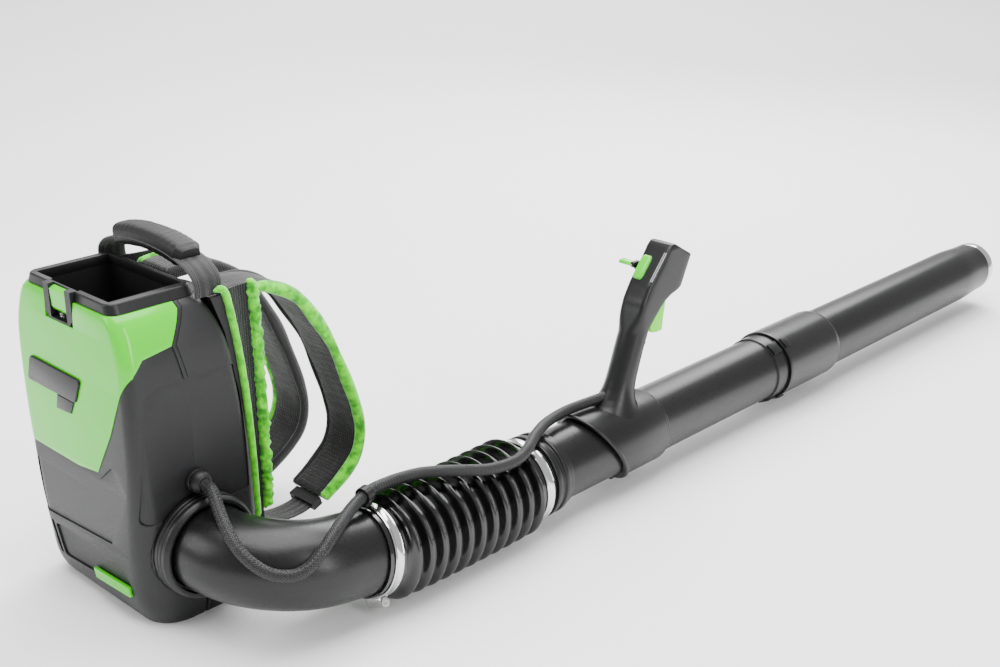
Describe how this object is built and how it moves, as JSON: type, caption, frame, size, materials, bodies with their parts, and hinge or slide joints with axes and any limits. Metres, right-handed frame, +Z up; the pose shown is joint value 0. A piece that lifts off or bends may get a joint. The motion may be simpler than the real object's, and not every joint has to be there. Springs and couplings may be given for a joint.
{
  "type": "backpack leaf blower",
  "caption": "Cordless backpack blower: housing with axial fan and battery bay, padded harness, swivel elbow, bellows hose, control handle and nozzle.",
  "frame": {"origin": "middle of the housing's flat underside, on the ground", "axes": "+Z up, +Y the way the wearer faces and along the wand, +X the wearer's right where the elbow leaves the housing"},
  "size_m": [0.394, 1.6024, 0.3995],
  "materials": {
    "lime_cover": "gloss moulded ABS",
    "dark_shell": "fine textured moulded plastic",
    "black_plastic": "moulded black plastic",
    "black_tube": "semi-gloss black plastic",
    "black_rubber": "glossy black rubber",
    "cable_sleeve": "mesh covered corrugated sleeve",
    "black_fabric": "black polyester fabric and webbing",
    "bright_steel": "bright stainless steel",
    "motor_metal": "machined aluminium can",
    "switch_body": "plastic and board laminate"
  },
  "bodies": {
    "housing": {"outer_cover": "lime_cover", "front_shell": "dark_shell", "rear_shell": "dark_shell", "base_plate": "dark_shell", "bay_rim": "dark_shell", "battery_bay": "black_plastic", "terminal_block": "black_plastic", "latch_frame": "dark_shell", "latch_spring": "bright_steel", "badge_plate": "dark_shell", "fan_duct": "black_plastic", "intake_grille": "dark_shell", "stator_vanes": "black_plastic", "motor": "motor_metal", "controller_tray": "black_plastic", "controller_board": "switch_body", "outlet_collar": "black_plastic", "collar_seal": "black_rubber", "cable_gland": "black_rubber", "back_plate": "black_plastic", "back_pad": "black_fabric", "shoulder_strap_left": "black_fabric", "shoulder_strap_right": "black_fabric", "lower_webbing_left": "black_fabric", "lower_webbing_right": "black_fabric", "strap_adjuster_left": "black_plastic", "strap_adjuster_right": "black_plastic", "carry_webbing": "black_fabric", "carry_grip": "black_rubber"},
    "fan_wheel": {"impeller": "dark_shell", "motor_shaft": "bright_steel"},
    "latch_tab": {"battery_latch": "lime_cover"},
    "elbow_pipe": {"elbow": "black_tube", "bellows_rear": "black_rubber", "hose_clamp_band_1": "bright_steel", "hose_clamp_screw_1": "bright_steel", "cable_rear": "cable_sleeve", "cable_clip": "black_plastic"},
    "hose_middle": {"bellows_mid": "black_rubber", "cable_mid": "cable_sleeve"},
    "wand_tube": {"bellows_front": "black_rubber", "hose_clamp_band_2": "bright_steel", "hose_clamp_screw_2": "bright_steel", "hose_coupler": "black_tube", "rear_tube": "black_tube", "handle_sleeve": "black_tube", "handle_left": "black_tube", "handle_right": "black_tube", "trigger_spring": "bright_steel", "trigger_pin": "bright_steel", "trigger_switch": "switch_body", "button_spring": "bright_steel", "cable_front": "cable_sleeve"},
    "front_pipe": {"front_tube": "black_tube"},
    "nozzle_pipe": {"nozzle": "black_tube", "nozzle_ring": "bright_steel"},
    "throttle": {"trigger": "lime_cover"},
    "boost": {"boost_button": "lime_cover"},
    "cruise": {"speed_lever": "lime_cover"}
  },
  "joints": [
    {"name": "fan_spin", "type": "hinge", "parent": "housing", "child": "fan_wheel", "pos_m": [0, -0.014, 0.09], "axis": [1, 0, 0], "continuous": true},
    {"name": "battery_latch_press", "type": "hinge", "parent": "housing", "child": "latch_tab", "pos_m": [-0.009, -0.0763, 0.336], "axis": [1, 0, 0], "range_deg": [0, 10], "stiffness_Nm_per_rad": 0.4, "springref_deg": -8.59, "deforming": ["latch_spring"]},
    {"name": "elbow_swivel", "type": "hinge", "parent": "housing", "child": "elbow_pipe", "pos_m": [0.131, -0.014, 0.09], "axis": [1, 0, 0], "range_deg": [-40, 60], "deforming": ["cable_rear"]},
    {"name": "hose_bend_up", "type": "hinge", "parent": "elbow_pipe", "child": "hose_middle", "pos_m": [0.221, 0.183, 0.0625], "axis": [1, 0, 0], "range_deg": [-12, 18], "stiffness_Nm_per_rad": 14, "deforming": ["bellows_rear", "cable_mid"]},
    {"name": "hose_bend_side", "type": "hinge", "parent": "hose_middle", "child": "wand_tube", "pos_m": [0.221, 0.3, 0.0623], "axis": [0, 0, 1], "range_deg": [-20, 20], "stiffness_Nm_per_rad": 14, "deforming": ["bellows_front", "cable_front"]},
    {"name": "front_tube_twist", "type": "hinge", "parent": "wand_tube", "child": "front_pipe", "pos_m": [0.221, 0.58944, 0.0623], "axis": [0, 1, 0], "range_deg": [0, 18]},
    {"name": "nozzle_twist", "type": "hinge", "parent": "front_pipe", "child": "nozzle_pipe", "pos_m": [0.221, 0.87094, 0.0623], "axis": [0, 1, 0], "range_deg": [0, 18]},
    {"name": "trigger_pull", "type": "hinge", "parent": "wand_tube", "child": "throttle", "pos_m": [0.221, 0.60594, 0.2323], "axis": [-1, 0, 0], "range_deg": [0, 13], "stiffness_Nm_per_rad": 0.5, "springref_deg": -8.59, "deforming": ["trigger_spring"]},
    {"name": "boost_press", "type": "slide", "parent": "wand_tube", "child": "boost", "axis": [0, 0.7493, -0.6622], "range_m": [0, 0.003], "stiffness_N_per_m": 700, "springref_m": -0.002, "deforming": ["button_spring"]},
    {"name": "cruise_turn", "type": "hinge", "parent": "wand_tube", "child": "cruise", "pos_m": [0.202, 0.60394, 0.2717], "axis": [-1, 0, 0], "range_deg": [0, 45]}
  ]
}
